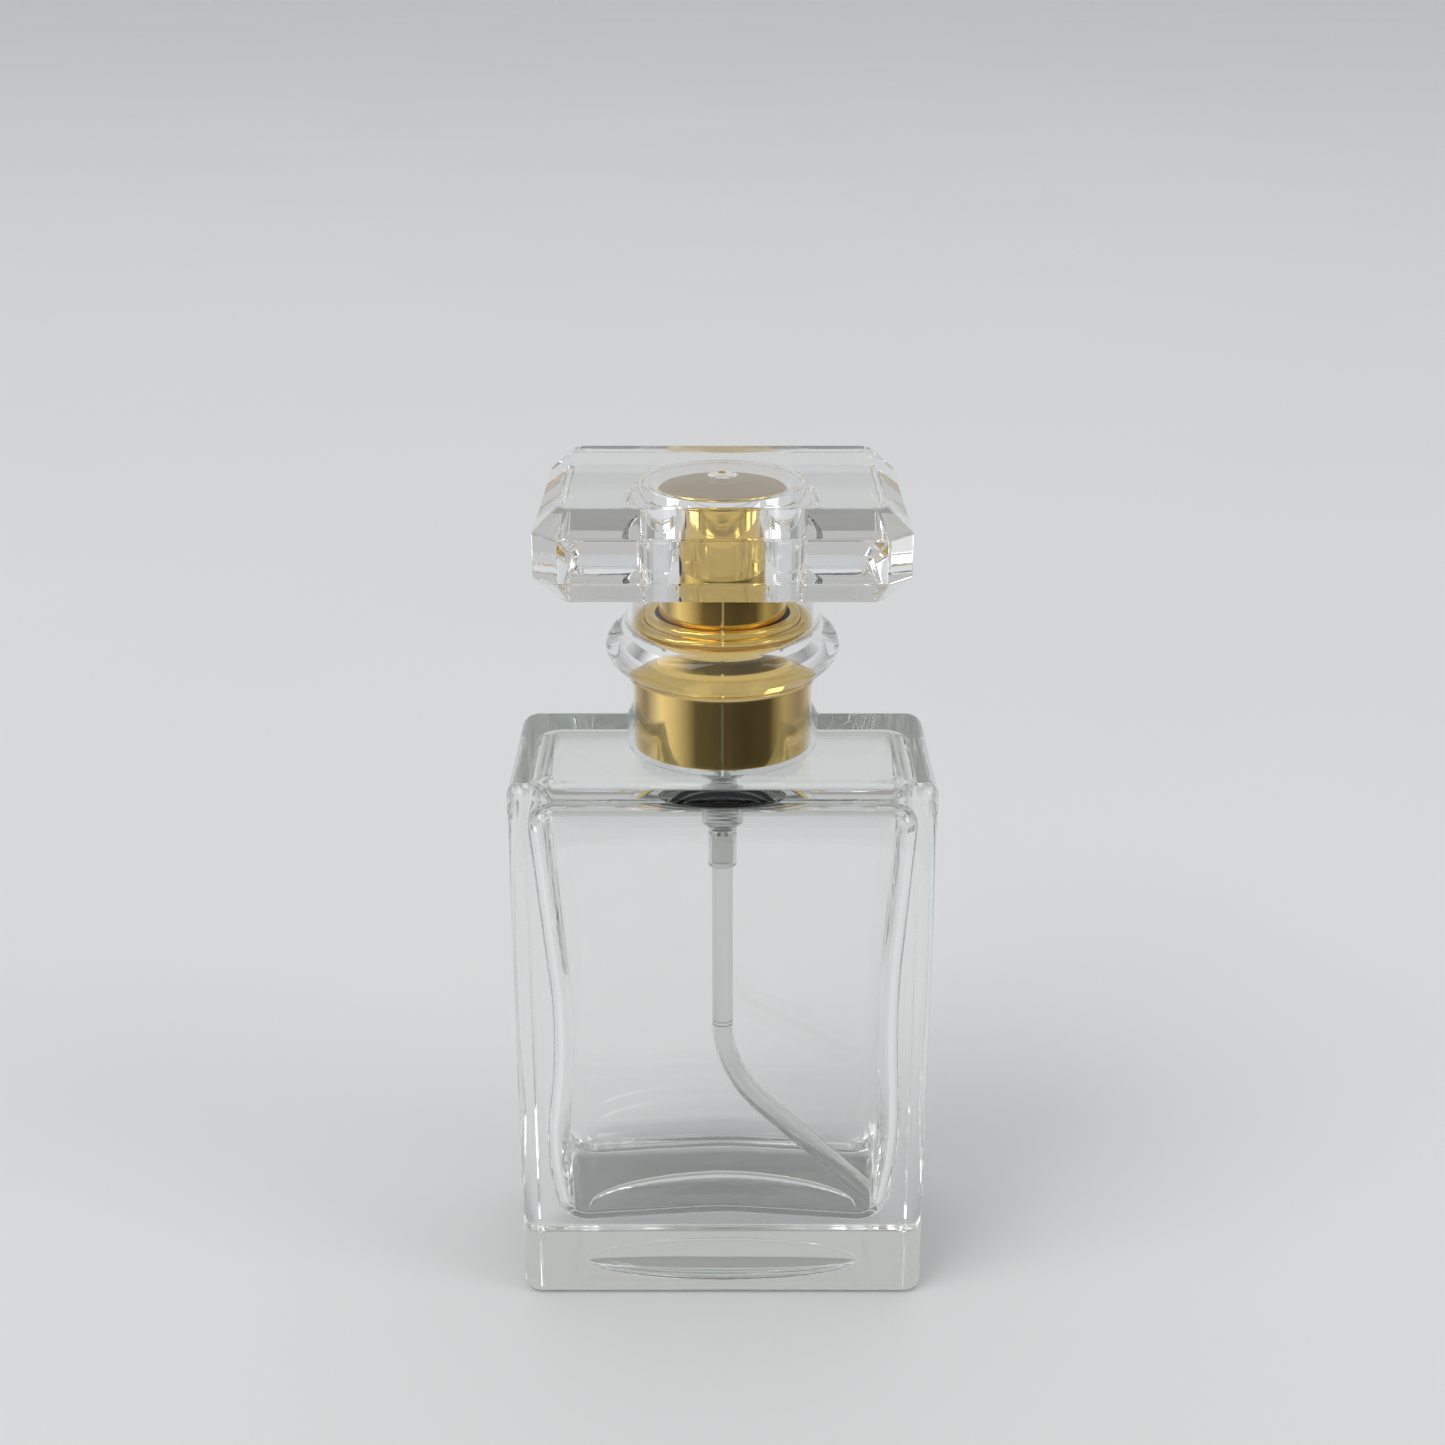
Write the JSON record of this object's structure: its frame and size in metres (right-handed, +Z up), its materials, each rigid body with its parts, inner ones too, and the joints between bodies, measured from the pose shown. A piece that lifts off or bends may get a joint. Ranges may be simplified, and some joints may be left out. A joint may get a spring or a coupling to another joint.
{
  "type": "perfume bottle",
  "caption": "Rectangular thick-walled glass perfume bottle with a crimped spray pump, a gold collar and actuator, and a clear faceted pull-off cap.",
  "frame": {"origin": "middle of the foot that the bottle stands on", "axes": "+Z up along the pump, +X along the bottle's width, -Y out of its front"},
  "size_m": [0.043, 0.0296, 0.0884],
  "materials": {
    "clear_glass": "clear flint glass with a faint green edge",
    "cap_plastic": "crystal-clear moulded plastic, polished",
    "gold_mirror": "polished gold anodised aluminium",
    "gold_satin": "gold anodised aluminium, satin top and polished side",
    "crimp_aluminium": "plain aluminium",
    "spring_steel": "stainless steel, bright",
    "gasket_rubber": "dark nitrile rubber",
    "liner_plastic": "natural polypropylene",
    "white_plastic": "white polyethylene",
    "clear_plastic": "natural translucent polypropylene",
    "tube_plastic": "translucent polyethylene tube",
    "insert_plastic": "dark swirl insert"
  },
  "bodies": {
    "bottle": {"glass_bottle": "clear_glass", "neck_gasket": "gasket_rubber", "ferrule": "crimp_aluminium", "collar_liner": "liner_plastic", "collar": "gold_mirror", "pump_housing": "clear_plastic", "turret": "white_plastic", "stem_seal": "gasket_rubber", "return_spring": "spring_steel", "dip_tube": "tube_plastic"},
    "pump_stem": {"stem": "white_plastic", "piston": "white_plastic"},
    "poppet": {"outlet_poppet": "white_plastic"},
    "ball": {"inlet_ball": "spring_steel"},
    "actuator": {"actuator_core": "white_plastic", "actuator_shell": "gold_satin", "nozzle_insert": "insert_plastic"},
    "cap": {"cap": "cap_plastic"}
  },
  "joints": [
    {"name": "pump_press", "type": "slide", "parent": "bottle", "child": "pump_stem", "axis": [0, 0, -1], "range_m": [0, 0.0036], "stiffness_N_per_m": 1200, "springref_m": -0.004, "deforming": ["return_spring"]},
    {"name": "poppet_open", "type": "slide", "parent": "pump_stem", "child": "poppet", "axis": [0, 0, -1], "range_m": [0, 0.0003], "stiffness_N_per_m": 300, "springref_m": -0.003},
    {"name": "ball_lift", "type": "slide", "parent": "bottle", "child": "ball", "axis": [0, 0, 1], "range_m": [0, 0.00028]},
    {"name": "actuator_spin", "type": "hinge", "parent": "pump_stem", "child": "actuator", "pos_m": [0, 0, 0.0793], "axis": [0, 0, 1], "continuous": true},
    {"name": "cap_lift", "type": "slide", "parent": "bottle", "child": "cap", "axis": [0, 0, 1], "range_m": [0, 0.03]}
  ]
}
